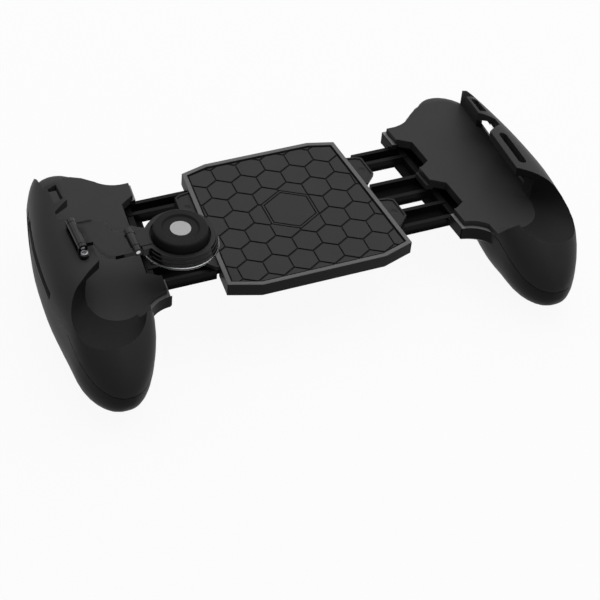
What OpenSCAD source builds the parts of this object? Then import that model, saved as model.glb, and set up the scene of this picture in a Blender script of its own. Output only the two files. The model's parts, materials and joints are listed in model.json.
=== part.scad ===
// Telescopic phone game controller: two grips slide out of a centre plate and clamp
// a phone between their jaws; a joystick folds over the screen on a hinged arm.
// Lies on its back: front faces +Z, +X to the right, +Y to the upper edge, millimetres.

/* [Handles] */
// Height of a handle from its lower tip to its upper lobe
handle_len = 95.6; // [92:0.4:106]
// Half of the overall width with both handles pushed in
half_width = 72.4; // [71:0.2:78]
// Width of the grip body
grip_width = 29.4; // [28.4:0.2:33]
// Depth of the grip belly behind the deck
belly_depth = 23; // [19:0.5:27]
// Wall thickness of the back shells
shell_wall = 2; // [1.6:0.1:2.6]
// Thickness of the deck of the front shells
deck_thick = 1.9; // [1.6:0.1:2.4]
// Open groove between front and back shell
seam_gap = 0.3; // [0.2:0.05:0.6]
// Radius of the thumb dish
dish_r = 11.2; // [10:0.2:12]

/* [Clamp] */
// Height of the phone space under the jaws
phone_gap = 10; // [8:0.5:13]
// Thickness of the jaws
jaw_thick = 3.3; // [2.8:0.1:4.2]
// How far the jaws reach over the deck
jaw_reach = 5.2; // [4:0.1:7]
// How far each handle is drawn out in the rest pose
extension = 17; // [0:0.5:25]

/* [Slide] */
// Half width of the centre plate at mid height
plate_half = 31.2; // [30:0.2:32.5]
// Width of one rail of the slide frames
rail_w = 1.5; // [1.2:0.1:2]
// Height of the slide frames
rail_h = 4; // [3.6:0.2:5]
// Draw of a slide frame up to its end stop
stop_draw = 25.5; // [24:0.5:26]
// Clearance round the slide frames
slide_gap = 0.35; // [0.25:0.05:0.5]

/* [Pad] */
// Distance between neighbouring hexagons of the pad
hex_pitch = 9; // [7:0.25:12]
// Width of the grooves between the hexagons
hex_groove = 0.5; // [0.4:0.1:0.9]
// Size of the plain centre panel, corner radius of its hexagon
panel_r = 8.6; // [8:0.1:11]

/* [Joystick] */
// Outer radius of the base ring
ring_r = 12.2; // [11.6:0.1:14]
// Radius of the cap
cap_r = 8.9; // [8.4:0.1:9.4]
// Height of the cap above the base ring
cap_rise = 2.9; // [2.2:0.1:5]
// Length of the arm between its two hinges
arm_len = 15.8; // [14:0.1:19]
// Outer radius of the hinge barrels
barrel_r = 1.5; // [1.4:0.05:1.8]
// Radius of the hinge pins
pin_r = 0.7; // [0.5:0.05:0.9]
// Running clearance of the pins, radial
pin_gap = 0.05; // [0.02:0.01:0.1]

/* [Screws] */
// Shank radius of the case screws
screw_r = 1; // [0.8:0.1:1.2]
// Head radius of the case screws
head_r = 1.9; // [1.6:0.1:2.2]

/* [Hidden] */
$fn = 48;

black = "#26272a";
dark = "#17181a";
grey = "#55575b";
steel = "#9a9ca0";

// levels, counted from the top of the handle decks
seam_z = -deck_thick;
rim_z = seam_z - seam_gap;
rail_top = -4.6;
rail_bot = rail_top - rail_h;
lap_z = rail_top - rail_h / 2;
flange_bot = rail_bot - 1;
cover_top = rim_z;
side_h = 4.8;
cover_bot = rim_z - side_h;
back_top = rail_bot - slide_gap;
back_bot = back_top - 0.9;
dome_h = phone_gap + jaw_thick + deck_thick;
tip_y = -handle_len / 2;
lobe_y = handle_len / 2;
tip_drop = 9.8;
lean_rate = 0.07;
body_in = half_width - grip_width;
wall_x = half_width - 10.4;
jaw_x = wall_x - jaw_reach;
crest = dome_h - deck_thick;

// slot in the long jaw, which takes the hinge bracket on the left handle
slot_x = wall_x - 1.75;
slot_r = 1.45;
slot_y0 = -7.95;
slot_y1 = 6.05;

function unit(v) = v / norm(v);
function clamp1(t) = max(0, min(1, t));
function smooth(t) = clamp1(t) * clamp1(t) * (3 - 2 * clamp1(t));
function inset(p, d) = let (n = len(p)) [
    for (i = [0 : n - 1])
        let (u = unit(p[i] - p[(i + n - 1) % n]),
            v = unit(p[(i + 1) % n] - p[i]),
            a = [u.y, -u.x],
            b = [v.y, -v.x])
        p[i] + d * (a + b) / (1 + a * b)];

// handle form: widest line, crown and belly along the length
function end_u(y) = y < tip_y + 17.8 ? (tip_y + 17.8 - y) / 17.8 : max(0, (y - lobe_y + 11.8) / 11.8);
function end_f(y) = sqrt(max(0.01, 1 - end_u(y) * end_u(y)));
function out_x(y) = half_width - smooth((-5 - y) / 20) - (y + 17.6) * (y + 17.6) / 396;
function in_x(y) = body_in + max(0, -20 - y) * 0.15;
function mid_x(y) = (out_x(y) + in_x(y)) / 2 + 0.8 * smooth((y - 36) / 11.8);
function half_w(y) = end_f(y) * (out_x(y) - in_x(y)) / 2;
function seam(y) = seam_z - tip_drop * smooth((tip_y + 22.8 - y) / 22.8);
function belly(y) = belly_depth + deck_thick - (belly_depth - 9) * smooth((y + 22) / 62);
function low_d(y) = pow(end_f(y), 0.7) * (belly(y) + seam(y));
function lean(y, h) = lean_rate * (1 + smooth((y + 15) / 30)) * (5 * smooth((y + 15) / 30) - h);
function crown_h(y) = end_f(y) * (y < lobe_y - 7.6 ? dome_h : deck_thick + 0.6);
steps = 32;
lift = max([for (y = stations(steps, 0.15)) low_d(y) - seam(y)]) + seam_gap;
function stations(n, in) = [
    for (i = [0 : n]) -(lobe_y - in) * cos(180 * i / n)];
function sgnpow(v, e) = sign(v) * pow(abs(v), e);
function half_ring(a, h, n, m) = [
    for (j = [0 : m]) [a * sgnpow(cos(180 * j / m), 2 / n), h * pow(abs(sin(180 * j / m)), 2 / n)]];

module loft(rings) {
    n = len(rings) - 1;
    m = len(rings[0]);
    sides = [for (i = [0 : n - 1], j = [0 : m - 1], s = [0, 1])
        let (a = i * m + j, b = i * m + (j + 1) % m, c = b + m, d = a + m)
        s == 0 ? [a, b, c] : [a, c, d]];
    caps = [[for (j = [m - 1 : -1 : 0]) j], [for (j = [0 : m - 1]) n * m + j]];
    polyhedron(points = [for (r = rings, p = r) p], faces = concat(sides, caps));
}

// crown of the grip, with a straight foot that is trimmed at the seam
module crown(m = 24) {
    all = stations(steps, 0.15);
    ys = concat([for (y = all) if (y < lobe_y - 8.4) y], [lobe_y - 7.7, lobe_y - 7.5],
        [for (y = all) if (y > lobe_y - 6.8) y]);
    loft([for (y = ys)
        let (f = half_ring(half_w(y), crown_h(y), 2.3, m),
            low = [[f[m].x, -3], [f[0].x, -3]])
        [for (p = concat(f, low)) [mid_x(y) + p.x + lean(y, max(0, p.y)), y, seam(y) + p.y]]]);
}

// belly of the grip; in takes off the wall, up adds a straight top
module lower(in = 0, up = 3, m = 24, n = steps) {
    loft([for (y = stations(n, 0.15 + in))
        let (a = max(0.4, half_w(y) - in),
            f = half_ring(a, max(0.4, low_d(y) - in), 2.7, m),
            top = [[-f[m].x, up], [-f[0].x, up]])
        [for (p = concat([for (q = f) [-q.x, -q.y]], top))
            [mid_x(y) + p.x + lean(y, min(0, p.y)), y, seam(y) - seam_gap + p.y]]]);
}

// everything above (side 1) or below (side -1) the parting line
module parting(side, gap) {
    far = side > 0 ? 40 : -50;
    loft([for (y = stations(steps, -1))
        let (z = seam(y) - gap)
        side > 0 ? [[90, y, z], [90, y, far], [15, y, far], [15, y, z]]
            : [[90, y, far], [90, y, z], [15, y, z], [15, y, far]]]);
}

module at_side(s) {
    translate([0, 0, lift])
        mirror([s < 0 ? 1 : 0, 0, 0])
            translate([extension, 0, 0])
                children();
}

module prism(pts, z0, z1) {
    translate([0, 0, z0])
        linear_extrude(z1 - z0)
            polygon(pts);
}

module rod(x, y, z0, z1, r) {
    translate([x, y, z0])
        cylinder(r = r, h = z1 - z0);
}

module rod_y(x, z, y0, y1, r) {
    translate([x, y0, z])
        rotate([-90, 0, 0])
            cylinder(r = r, h = y1 - y0);
}

module block(x0, x1, y0, y1, z0, z1) {
    translate([x0, y0, z0])
        cube([x1 - x0, y1 - y0, z1 - z0]);
}

// centre plate outline, and the deck edge that faces it
slant = 0.0826;
function plate_x(y) = plate_half - slant * y;
function deck_x(y) = plate_x(y) + 2 - 0.0129 * y;
plate_top = 38.9;
plate_low = -22.7;
plate_pts = [[19, plate_top], [plate_x(36.5), 36.5], [plate_x(-19.2), -19.2], [21.8, plate_low],
    [-21.8, plate_low], [-plate_x(-19.2), -19.2], [-plate_x(36.5), 36.5], [-19, plate_top]];
lobe_pts = [[body_in - 2.35, 39.8], [body_in + 1.5, 43.1], [body_in + 5.4, 45]];
flange_pts = concat([[deck_x(36.2), 36.2], [body_in - 10, 36.2], [body_in - 10, 39.8]], lobe_pts,
    [[body_in + 9, 45], [body_in + 9, -29.5], [body_in - 8.6, -29.5], [body_in - 8.6, -18.4],
    [deck_x(-18.4), -18.4]]);

module flange_form(d, z0, z1, x1 = 90) {
    difference() {
        intersection() {
            prism(inset(flange_pts, d), z0, z1);
            block(20, x1, -60, 60, z0 - 1, z1 + 1);
        }
        rod(body_in - 10, 46.2, z0 - 1, z1 + 1, 10 + d);
        rod(body_in - 8.6, -29.5, z0 - 1, z1 + 1, 11.1 + d);
    }
}

// underside of the flange and of the plate slopes in below the upright side face
module sloped(pts, z0, z1) {
    d = z1 - z0;
    loft([[for (p = inset(pts, d)) concat(p, z0)], [for (p = pts) concat(p, z1)]]);
}

// side tabs of the plate, and the notches in the decks that take them
tab_ys = [28, 4.8];
function tab_pts(y) = [for (p = [[-0.9, 0], [3.5, -0.7], [5.4, -1.8], [5.4, -10.6], [1.1, -14.6], [-0.9, -15]])
    [plate_x(y + p.y) + p.x, y + p.y]];
function notch_pts(y) = [for (p = [[-5, 1], [1.5, 0.6], [5.6, -2.4], [5.6, -13], [1.9, -15.3], [-5, -15.7]])
    [deck_x(y + p.y) + p.x, y + p.y]];

// rails of the slide frames
rail_ys = [29.9, 24.9, 13.6, 5.9, -1.4, -8.7];
tray_top = rail_ys[0] + rail_w / 2;
tray_low = rail_ys[5] - rail_w / 2;
tray_in = -13;
tray_out = body_in;
lap_x = -tray_in + 2.5;
peg_r = 2;
peg_x = tray_in + 2 + stop_draw + peg_r;

// case screws of a handle: place and height where post and boss meet
posts = [[body_in + 10, lobe_y - 9.8, -6], [wall_x + 0.5, 8, -8], [wall_x - 4, tip_y + 11.8, -13]];
frame_posts = [for (i = [0, 4]) [body_in - 2.4, (rail_ys[i] + rail_ys[i + 1]) / 2]];
plate_posts = [[20, 32.7], [24, -14.4], [-24, -14.4], [-20, 32.7]];

module pocket(z0, z1, lip) {
    edge = lip
        ? [[wall_x - 0.3, lobe_y - 7.8], [wall_x - 0.3, 30.3], [jaw_x + 0.4, 28.8], [jaw_x + 0.4, 19.2],
            [wall_x + 0.3, 16.3], [wall_x + 0.3, 12.7], [jaw_x - 0.3, 8.9], [jaw_x - 0.3, -11.3],
            [wall_x + 3.2, floor_c.y - 0.3], [wall_x + 3.2, floor_c.y - 2.3]]
        : [[wall_x, lobe_y - 7.8], [wall_x, floor_c.y]];
    arc = [for (a = [(lip ? -15 : 0) : -15 : -135]) floor_c + floor_r * [cos(a), sin(a)]];
    prism(concat([[15, 70], [90, 70], [90, lobe_y - 7.8]], edge, arc,
        [[body_in + 3.6, tip_y + 21.3], [15, tip_y + 21.3]]), z0, z1);
}

// thumb scoop: sloping wall from a round floor on the deck up to a wider edge on the crown
floor_c = [wall_x - 9.2, tip_y + 30.5];
floor_r = 8.75;
dish_c = [wall_x - 3.2, tip_y + 18.9];
function crown_at(x, y) = let (r = min(0.98, abs(x - mid_x(y)) / half_w(y)))
    crown_h(y) * pow(1 - pow(r, 2.3), 1 / 2.3);
function crown_z(p) = let (a = crown_at(p.x, p.y),
    b = crown_at(p.x - lean(p.y, a), p.y))
    seam(p.y) + crown_at(p.x - lean(p.y, b), p.y);
// the edge is wider below the end of the long jaw
function rim_r(a) = dish_r + 1.9 * smooth((a + 5) / 70) * smooth((175 - a) / 70);
module scoop() {
    n = 72;
    dirs = [for (j = [0 : n - 1]) [cos(-360 * j / n), sin(-360 * j / n)]];
    low = [for (d = dirs) concat(floor_c + floor_r * d, 0)];
    edge = [for (j = [0 : n - 1])
        let (q = dish_c + rim_r(360 - 360 * j / n) * dirs[j])
        concat(q, max(1, crown_z(q)))];
    between = [for (t = [0.25, 0.5, 0.75])
        [for (j = [0 : n - 1]) low[j] + t * (edge[j] - low[j])]];
    loft(concat([low], between, [edge, [for (q = edge) [q.x, q.y, 40]]]));
    translate([15, 0, 0])
        rotate([90, 0, 90])
            linear_extrude(body_in + 5.5 - 15)
                polygon([[tip_y + 38, 0], [tip_y + 38, 40], [tip_y + 12, 40], [tip_y + 14.3, 10], [tip_y + 21.3, 0]]);
}

module front_shell() {
    difference() {
        union() {
            difference() {
                union() {
                    difference() {
                        crown();
                        parting(-1, 0);
                    }
                    flange_form(1, seam_z, 0.5);
                    flange_form(1.8, seam_z - 1.3, seam_z + 0.5, body_in - 0.3);
                    prism([[deck_x(13), 13], [deck_x(13) + 2.4, 13], [deck_x(5) + 2.4, 5], [deck_x(5), 5]],
                        rail_top + 0.3, rim_z);
                }
                pocket(0, phone_gap + 0.01, false);
                pocket(phone_gap, 40, true);
                scoop();
                rod(posts[2].x, posts[2].y, -30, -2.5, 6);
            }
            rod(posts[0].x, posts[0].y, posts[0].z, seam_z + 0.5, 2.4);
            rod(posts[1].x, posts[1].y, posts[1].z, seam_z + 0.5, 2.4);
            rod(posts[2].x, posts[2].y, posts[2].z, 1, 2.4);
        }
        for (y = tab_ys)
            prism(notch_pts(y), -4.5, 1);
        block(jaw_x + 1.5, wall_x - 0.9, 20.3, 27.8, phone_gap - 1, 40);
        block(slot_x - slot_r, slot_x + slot_r, slot_y0, slot_y1, phone_gap - 1, 40);
        rod(slot_x, slot_y0, phone_gap - 1, 40, slot_r);
        rod(slot_x, slot_y1, phone_gap - 1, 40, slot_r);
        port_cut();
        wall_end();
        for (p = posts)
            rod(p.x, p.y, p.z - 1, p.z + 4.4, screw_r + 0.02);
    }
}

// long side slot through the clamp wall, with a deeper cable port at its upper end
module port_cut() {
    translate([0, 27, 0])
        rotate([90, 0, 0])
            linear_extrude(36)
                polygon([[wall_x - 2, 0], [wall_x - 2, 8], [wall_x + 0.5, 8], [wall_x + 5.5, 1.2],
                    [wall_x + 16, 1.2], [wall_x + 16, seam_z + 0.4], [wall_x + 4, seam_z + 0.4], [wall_x + 2, 0]]);
    translate([0, 31.5, 0])
        rotate([90, 0, 0])
            linear_extrude(16)
                polygon([[wall_x - 1, 5.4], [wall_x - 1, 8.9], [wall_x + 10, -7.2], [wall_x + 10, -10.7]]);
}

// rounds the upper end of the clamp wall
module wall_end() {
    r = 2.6;
    y = lobe_y - 7.8 - r;
    difference() {
        block(50, 90, y, y + 5, crest - 0.1 - r, 40);
        translate([49, y, crest - 0.1 - r])
            rotate([0, 90, 0])
                cylinder(r = r, h = 42);
    }
}

// slope under an edge from a to b, with the body on the right of it
module edge_slope(a, b, h, more0, more1) {
    translate([a.x, a.y, flange_bot])
        rotate([0, 0, atan2(b.y - a.y, b.x - a.x)])
            translate([-more0, 0, 0])
                rotate([90, 0, 90])
                    linear_extrude(norm(b - a) + more0 + more1)
                        polygon([[1, -1], [1, h + 1], [-h - 1, -1]]);
}

module flange_slopes() {
    h = rim_z - side_h - flange_bot;
    low = [deck_x(-18.4), -18.4];
    top = [deck_x(36.2), 36.2];
    edge_slope(low, top, h, 3, 3);
    edge_slope(top, [body_in - 10, 36.2], h, 3, 0);
    edge_slope([body_in - 8.6, -18.4], low, h, 0, 3);
    edge_slope(lobe_pts[0], lobe_pts[1], h, 1, 0);
    edge_slope(lobe_pts[1], lobe_pts[2], h, 0, 3);
    translate([body_in - 10, 46.2, flange_bot - 1])
        cylinder(r1 = 11 + h, r2 = 10, h = h + 1);
    translate([body_in - 8.6, -29.5, flange_bot - 1])
        cylinder(r1 = 12.1 + h, r2 = 11.1, h = h + 1);
}

module back_shell() {
    difference() {
        union() {
            lower();
            difference() {
                flange_form(0, flange_bot, seam_z + 1);
                flange_slopes();
            }
        }
        parting(1, seam_gap);
        difference() {
            lower(shell_wall, 12, 12, 26);
            for (p = posts)
                rod(p.x, p.y, -40, p.z, 3.2);
            block(15, tray_out + 1.5, -60, 60, -40, rail_bot);
        }
        flange_form(1.6, rim_z - side_h, 3, body_in + 2);
        flange_form(3, rail_bot, 3, body_in + 2);
        block(body_in - 4, body_in + 7, -16, 33, rail_bot, 3);
        block(15, body_in - 4, tray_low - 0.35, tray_top + 0.45, rail_bot, rail_top + 0.3);
        block(15, body_in - 4, 4, 14, rail_bot, 3);
        for (y = tab_ys)
            prism(notch_pts(y), -4.5, 1);
        port_cut();
        for (p = posts) {
            rod(p.x, p.y, -40, p.z + 1, screw_r + 0.1);
            rod(p.x, p.y, -40, p.z - 1.6, head_r + 0.25);
        }
        for (p = frame_posts) {
            rod(p.x, p.y, flange_bot - 1, rail_bot + 1, 0.85);
        }
    }
}

module shell_screws() {
    for (p = posts) {
        rod(p.x, p.y, p.z - 1.7, p.z + 4.2, screw_r);
        difference() {
            rod(p.x, p.y, p.z - 3.2, p.z - 1.6, head_r);
            translate([p.x, p.y, p.z - 3])
                cube([0.6, 2.2, 1.4], center = true);
            translate([p.x, p.y, p.z - 3])
                cube([2.2, 0.6, 1.4], center = true);
        }
    }
}

module frame_screws() {
    for (p = frame_posts) {
        rod(p.x, p.y, flange_bot - 0.1, rail_bot + 2.6, 0.8);
        difference() {
            rod(p.x, p.y, flange_bot - 0.9, flange_bot, 1.7);
            translate([p.x, p.y, flange_bot - 1])
                cube([0.5, 1.8, 0.9], center = true);
            translate([p.x, p.y, flange_bot - 1])
                cube([1.8, 0.5, 0.9], center = true);
        }
    }
}

module slide_frame(low) {
    z0 = low ? rail_bot : lap_z + 0.2;
    z1 = low ? lap_z - 0.2 : rail_top;
    difference() {
        union() {
            for (y = rail_ys) {
                block(tray_in, lap_x + 1, y - rail_w / 2, y + rail_w / 2, z0, z1);
                block(lap_x, deck_x(y) + 3.5, y - rail_w / 2, y + rail_w / 2, rail_bot, rail_top);
            }
            block(tray_in, tray_in + 2, tray_low, tray_top, z0, z1);
            for (i = [0, 2, 4])
                block(lap_x, tray_out, rail_ys[i + 1], rail_ys[i], rail_bot, rail_bot + 1);
            prism([[deck_x(tray_top) + 1.9, tray_top], [deck_x(tray_top) + 4, tray_top],
                [deck_x(tray_low) + 4, tray_low], [deck_x(tray_low) + 1.9, tray_low]], rail_bot, -4.9);
            prism([[deck_x(tray_top) - 1.1, tray_top], [deck_x(tray_top) + 2, tray_top],
                [deck_x(tray_low) + 2, tray_low], [deck_x(tray_low) - 1.1, tray_low]], rail_bot, rail_bot + 1);
            block(frame_posts[0].x - 1.8, tray_out, tray_low, tray_top, rail_bot, rail_bot + 1);
            for (p = frame_posts)
                rod(p.x, p.y, rail_bot, rail_bot + 3, 1.8);
        }
        for (p = frame_posts)
            rod(p.x, p.y, rail_bot - 1, rail_bot + 2.7, 0.82);
    }
}

module brake(s) {
    block(s * 14 - 3, s * 14 + 3, tray_top + 0.05, tray_top + 2, rail_bot + 0.2, rail_top - 0.2);
}

module cover_shell() {
    walls = 1.6;
    difference() {
        union() {
            difference() {
                prism(plate_pts, cover_bot, cover_top);
                prism(inset(plate_pts, 1.5), cover_top - 1.3, cover_top + 1);
                prism(inset(plate_pts, walls), cover_bot - 1, cover_top - 2.1);
            }
            for (p = plate_posts)
                rod(p.x, p.y, back_top, cover_top - 2, 1.7);
            difference() {
                block(-24.4, 24.4, tray_top + slide_gap, tray_top + slide_gap + 1, back_top, cover_top - 2);
                for (s = [-1, 1])
                    block(s * 14 - 3.1, s * 14 + 3.1, 20, tray_top + 2.05, back_top - 1, rail_top);
            }
            for (s = [-1, 1])
                block(s * 14 - 3.9, s * 14 + 3.9, tray_top + 2.05, tray_top + 3, back_top, cover_top - 2);
            block(-27, 27, tray_low - slide_gap - 1, tray_low - slide_gap, back_top, cover_top - 2);
            for (s = [0, 1], y = tab_ys)
                mirror([s, 0, 0])
                    side_tab(y);
        }
        for (s = [0, 1])
            mirror([s, 0, 0])
                block(26, 40, tray_low - slide_gap, tray_top + slide_gap, cover_bot - 1, rail_top + 0.3);
        for (p = plate_posts)
            rod(p.x, p.y, back_top - 1, back_top + 4.2, screw_r + 0.02);
    }
}

// one tab with its raised border and the dimple in its middle
module side_tab(y) {
    base = rail_top + 0.4;
    pts = tab_pts(y);
    mid = [plate_x(y - 7.3) + 2.5, y - 7.3];
    difference() {
        union() {
            prism(pts, base, base + 1.1);
            difference() {
                prism(pts, base + 1, base + 1.5);
                prism(inset(pts, 0.7), base, base + 2);
            }
        }
        translate([mid.x, mid.y, base + 3.2])
            sphere(r = 2.5);
    }
}

hex_rows = hex_pitch * 8 / 9;
module hex_at(x, y, r) {
    translate([x, y])
        polygon([for (i = [0 : 5]) r * [sin(60 * i), cos(60 * i)]]);
}

module pad() {
    pts = inset(plate_pts, 1.65);
    base = cover_top - 1.3;
    r = hex_pitch / sqrt(3) - hex_groove / sqrt(3);
    prism(pts, base, base + 0.5);
    translate([0, 0, base + 0.4])
        linear_extrude(0.5)
            intersection() {
                polygon(inset(pts, 0.5));
                union() {
                    difference() {
                        for (j = [-4 : 4], i = [-4 : 4])
                            hex_at((i + (j % 2 == 0 ? 0 : 0.5)) * hex_pitch, 8.9 + j * hex_rows, r);
                        hex_at(0.5, 8.9, panel_r + 1.1 + hex_groove);
                    }
                    difference() {
                        hex_at(0.5, 8.9, panel_r + 1.1);
                        hex_at(0.5, 8.9, panel_r + hex_groove);
                    }
                    hex_at(0.5, 8.9, panel_r);
                }
            }
}

module back_plate() {
    difference() {
        union() {
            difference() {
                sloped(inset(plate_pts, 0.1), back_bot, cover_bot);
                sloped(inset(plate_pts, 1.7), back_top, cover_bot + 0.01);
            }
            for (s = [-1, 1], i = [1, 3])
                rod(s * peg_x, (rail_ys[i] + rail_ys[i + 1]) / 2, back_top - 0.1, rail_top + 0.1, peg_r);
        }
        for (s = [0, 1])
            mirror([s, 0, 0])
                block(22, 40, tray_low - slide_gap, tray_top + slide_gap, back_top, cover_bot + 1);
        for (p = plate_posts)
            rod(p.x, p.y, back_bot - 1, back_top + 1, screw_r + 0.1);
        for (y = [-2.2, 17.8])
            prism([[-8, y - 6], [8, y - 6], [8, y - 5], [-8, y - 5]], back_bot - 1, back_bot + 0.4);
    }
}

module plate_screws() {
    for (p = plate_posts) {
        rod(p.x, p.y, back_bot - 0.1, back_top + 4, screw_r);
        difference() {
            rod(p.x, p.y, back_bot - 1, back_bot, head_r);
            translate([p.x, p.y, back_bot - 1])
                cube([0.6, 2.2, 1], center = true);
            translate([p.x, p.y, back_bot - 1])
                cube([2.2, 0.6, 1], center = true);
        }
    }
}

// joystick arm, in the coordinates of the left handle
hinge_z = phone_gap + jaw_thick + 1.9;
hinge_x = wall_x - 1.8;
knee_x = hinge_x - arm_len;
ring_c = [knee_x - ring_r - 3.2, -9.4];
ring_top = hinge_z;
ring_bot = ring_top - 3.5;
tilt_z = ring_top - 2;

module bracket() {
    difference() {
        union() {
            block(slot_x - slot_r + 0.02, slot_x + slot_r - 0.02, slot_y0, slot_y1, phone_gap + 0.2, crest - 0.1);
            rod(slot_x, slot_y0, phone_gap + 0.2, crest + 0.8, slot_r - 0.02);
            rod(slot_x, slot_y1, phone_gap + 0.2, crest - 0.1, slot_r - 0.02);
            for (e = [[-6.6, -5.3], [5.3, 6.9]]) {
                rod_y(hinge_x, hinge_z, e[0], e[1], barrel_r);
                block(hinge_x - 1.05, hinge_x + 1.4, e[0], e[1], crest + 0.1, hinge_z);
                block(hinge_x - 1.05, slot_x + slot_r - 0.02, e[0], min(e[1], slot_y1), phone_gap + 1, crest + 0.2);
            }
        }
        rod_y(hinge_x, hinge_z, -20, 20, pin_r + 0.02);
        rod(slot_x, slot_y0, phone_gap, hinge_z + 10, 0.62);
    }
}

module bracket_fix() {
    rod(slot_x, slot_y0, phone_gap + 0.5, crest + 0.9, 0.6);
    difference() {
        rod(slot_x, slot_y0, crest + 0.8, crest + 1.5, 1.15);
        translate([slot_x, slot_y0, crest + 1.5])
            cube([1.6, 0.4, 0.6], center = true);
        translate([slot_x, slot_y0, crest + 1.5])
            cube([0.4, 1.6, 0.6], center = true);
    }
}

module arm_body() {
    t = 1.5;
    z0 = hinge_z - 0.9;
    difference() {
        union() {
            rod_y(hinge_x, hinge_z, -5.1, 5.1, barrel_r);
            difference() {
                prism([[hinge_x, 5.1], [hinge_x, -5.1], [hinge_x - 3.8, -5.1], [hinge_x - 4.5, -9],
                    [hinge_x - 5.9, -12], [hinge_x - 8.3, -13.6], [knee_x, -13.6], [knee_x, -3],
                    [knee_x + 3.2, -3.2], [knee_x + 4.8, -2.2], [knee_x + 5.6, 1.4],
                    [knee_x + 6.8, 3.9], [knee_x + 9.2, 5.1]], z0, z0 + t);
                block(knee_x - 5, knee_x + 2, -11.3, -5.3, z0 - 1, z0 + 9);
            }
            rod_y(knee_x, hinge_z, -5.3, -3, barrel_r);
            rod_y(knee_x, hinge_z, -13.6, -11.3, barrel_r);
        }
        rod_y(hinge_x, hinge_z, -20, 20, pin_r + pin_gap);
        rod_y(knee_x, hinge_z, -20, 20, pin_r + 0.02);
    }
}

module pin_1() {
    rod_y(hinge_x, hinge_z, -6.5, 6.8, pin_r);
}

module pin_2() {
    rod_y(knee_x, hinge_z, -13.5, -3.1, pin_r);
}

module base_ring() {
    difference() {
        union() {
            translate([ring_c.x, ring_c.y, ring_bot])
                cylinder(r1 = ring_r, r2 = ring_r - 0.9, h = ring_top - ring_bot);
            block(ring_c.x, knee_x, -11.1, -5.5, hinge_z - 1.3, hinge_z + 0.2);
            block(ring_c.x, knee_x - 1.9, -12.9, -3.7, ring_bot + 0.8, ring_top);
            rod_y(knee_x, hinge_z, -11.1, -5.5, barrel_r);
        }
        rod(ring_c.x, ring_c.y, ring_bot + 0.8, ring_top + 5, cap_r + 0.9);
        rod(ring_c.x, ring_c.y, ring_bot - 1, ring_top + 5, 5);
        rod_y(knee_x, hinge_z, -20, 20, pin_r + pin_gap);
    }
    for (s = [-1, 1])
        difference() {
            translate([ring_c.x + s * 6, ring_c.y, (ring_bot + tilt_z + 0.8) / 2 + 0.05])
                cube([1.4, 2, tilt_z - ring_bot + 0.7], center = true);
            trunnion(0.45, 8);
        }
}

module trunnion(r, l) {
    translate([ring_c.x - l, ring_c.y, tilt_z])
        rotate([0, 90, 0])
            cylinder(r = r, h = 2 * l);
}

module rim_ring() {
    difference() {
        rod(ring_c.x, ring_c.y, ring_bot - 0.6, ring_bot, ring_r + 0.4);
        rod(ring_c.x, ring_c.y, ring_bot - 1, ring_bot + 1, ring_r - 1.8);
    }
}

module skirt() {
    translate([ring_c.x, ring_c.y, 0])
        rotate_extrude()
            polygon([[cap_r - 0.1, ring_bot + 0.85], [cap_r + 0.4, ring_bot + 0.85], [cap_r - 0.2, ring_bot + 1.8],
                [cap_r - 0.5, ring_top - 0.85], [cap_r - 1, ring_top - 0.85], [cap_r - 0.7, ring_bot + 1.8]]);
}

module collar() {
    difference() {
        union() {
            rod(ring_c.x, ring_c.y, tilt_z - 0.8, tilt_z + 0.8, 3.2);
            trunnion(0.38, 6.5);
        }
        rod(ring_c.x, ring_c.y, tilt_z - 2, tilt_z + 2, 2);
        rod_y(ring_c.x, tilt_z, ring_c.y - 4, ring_c.y + 4, 0.45);
    }
}

module cap() {
    z0 = ring_top - 0.8;
    z1 = ring_top + cap_rise;
    difference() {
        translate([ring_c.x, ring_c.y, z0])
            rotate_extrude()
                union() {
                    square([cap_r - 0.8, z1 - z0]);
                    square([cap_r, z1 - z0 - 0.8]);
                    translate([cap_r - 0.8, z1 - z0 - 0.8])
                        circle(r = 0.8);
                }
        rod(ring_c.x, ring_c.y, z0 - 1, z1 - 1.8, cap_r - 1.4);
        translate([ring_c.x, ring_c.y, z1 - 0.6])
            cylinder(r1 = cap_r * 0.63, r2 = cap_r * 0.7, h = 0.7);
        rod(ring_c.x, ring_c.y, z1 - 0.9, z1 + 1, 3.4);
    }
}

module dot() {
    rod(ring_c.x, ring_c.y, ring_top + cap_rise - 0.9, ring_top + cap_rise - 0.5, 3.35);
}

module stem() {
    rod(ring_c.x, ring_c.y, ring_bot - 0.5, ring_top + cap_rise - 1.8, 1.5);
    rod_y(ring_c.x, tilt_z, ring_c.y - 3.1, ring_c.y + 3.1, 0.38);
}

module foot() {
    rod(ring_c.x, ring_c.y, ring_bot - 0.9, ring_bot - 0.5, 3.5);
}

module centre_front_cover() {
    color(black) translate([0, 0, lift]) cover_shell();
}
module grip_pad() {
    color(dark) translate([0, 0, lift]) pad();
}
module centre_back_cover() {
    color(black) translate([0, 0, lift]) back_plate();
}
module centre_screws() {
    color(steel) translate([0, 0, lift]) plate_screws();
}
module left_brake() {
    color(dark) translate([0, 0, lift]) brake(-1);
}
module right_brake() {
    color(dark) translate([0, 0, lift]) brake(1);
}
module left_front_shell() {
    color(black) at_side(-1) front_shell();
}
module left_back_shell() {
    color(black) at_side(-1) back_shell();
}
module left_slide_frame() {
    color(dark) at_side(-1) slide_frame(false);
}
module left_shell_screws() {
    color(steel) at_side(-1) shell_screws();
}
module left_frame_screws() {
    color(steel) at_side(-1) frame_screws();
}
module hinge_bracket() {
    color(dark) at_side(-1) bracket();
}
module bracket_screw() {
    color(steel) at_side(-1) bracket_fix();
}
module arm_pin() {
    color(steel) at_side(-1) pin_1();
}
module right_front_shell() {
    color(black) at_side(1) front_shell();
}
module right_back_shell() {
    color(black) at_side(1) back_shell();
}
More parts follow.
